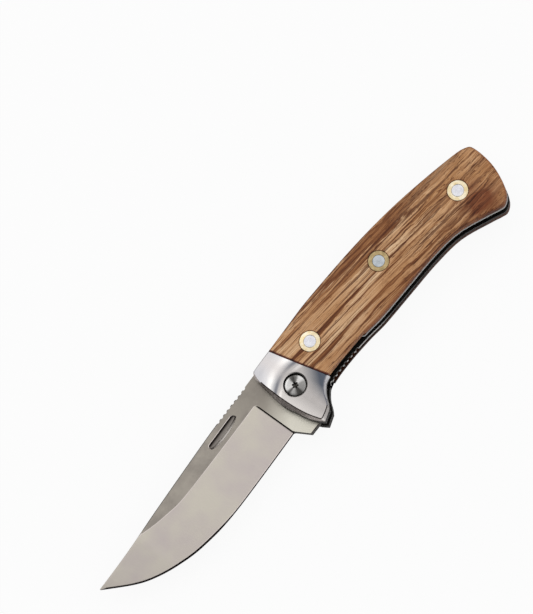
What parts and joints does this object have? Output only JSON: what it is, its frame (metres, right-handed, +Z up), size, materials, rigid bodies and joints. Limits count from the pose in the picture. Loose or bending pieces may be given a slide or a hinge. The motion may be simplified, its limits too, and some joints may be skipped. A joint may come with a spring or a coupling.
{
  "type": "folding pocket knife",
  "caption": "Liner-lock folding knife, open, with a straight-spined drop-edge blade, steel bolsters and striped wood scales held by ringed rivets.",
  "frame": {"origin": "middle of the open knife's footprint, on the face that it lies on", "axes": "-X to the blade tip, +X to the butt, +Y to the spine, +Z up through the thickness, out of the nail-nick side"},
  "size_m": [0.1924, 0.0356, 0.0124],
  "materials": {
    "blade_steel": "satin, brushed across the blade",
    "liner_steel": "plain satin",
    "bolster_steel": "fine satin",
    "hardware_steel": "turned",
    "rivet_steel": "ground flush",
    "brass": "ground flush",
    "bronze": "plain",
    "striped_wood": "oiled, striped grain along the handle",
    "black_plastic": "matte"
  },
  "bodies": {
    "handle": {"liner_front": "liner_steel", "liner_back": "liner_steel", "bolster_front": "bolster_steel", "bolster_back": "bolster_steel", "scale_front": "striped_wood", "scale_back": "striped_wood", "washer_front": "bronze", "washer_back": "bronze", "pivot_barrel": "hardware_steel", "pivot_screw": "hardware_steel", "stop_pin": "hardware_steel", "back_spacer": "black_plastic", "spacer_pin_1": "hardware_steel", "spacer_pin_2": "hardware_steel", "spacer_pin_3": "hardware_steel", "rivet_ring_front_1": "brass", "rivet_ring_front_2": "brass", "rivet_ring_front_3": "brass", "rivet_ring_back_1": "brass", "rivet_ring_back_2": "brass", "rivet_ring_back_3": "brass", "rivet_core_front_1": "rivet_steel", "rivet_core_front_2": "rivet_steel", "rivet_core_front_3": "rivet_steel", "rivet_core_back_1": "rivet_steel", "rivet_core_back_2": "rivet_steel", "rivet_core_back_3": "rivet_steel", "bolster_screw_front_1": "hardware_steel", "bolster_screw_front_2": "hardware_steel", "bolster_screw_back_1": "hardware_steel", "bolster_screw_back_2": "hardware_steel"},
    "blade": {"blade": "blade_steel"},
    "lock_bar": {"lock_bar": "liner_steel", "detent_ball": "hardware_steel"}
  },
  "joints": [
    {"name": "blade_fold", "type": "hinge", "parent": "handle", "child": "blade", "pos_m": [-0.0034, 0.00283, 0.0062], "axis": [0, 0, 1], "range_deg": [0, 180]},
    {"name": "lock_bar_flex", "type": "hinge", "parent": "handle", "child": "lock_bar", "pos_m": [0.0546, 0.00283, 0.00434], "axis": [0, -1, 0], "range_deg": [0, 2.41]}
  ],
  "couplings": [
    {"joint": "lock_bar_flex", "follows": "blade_fold", "ratio": 0.013333}
  ]
}
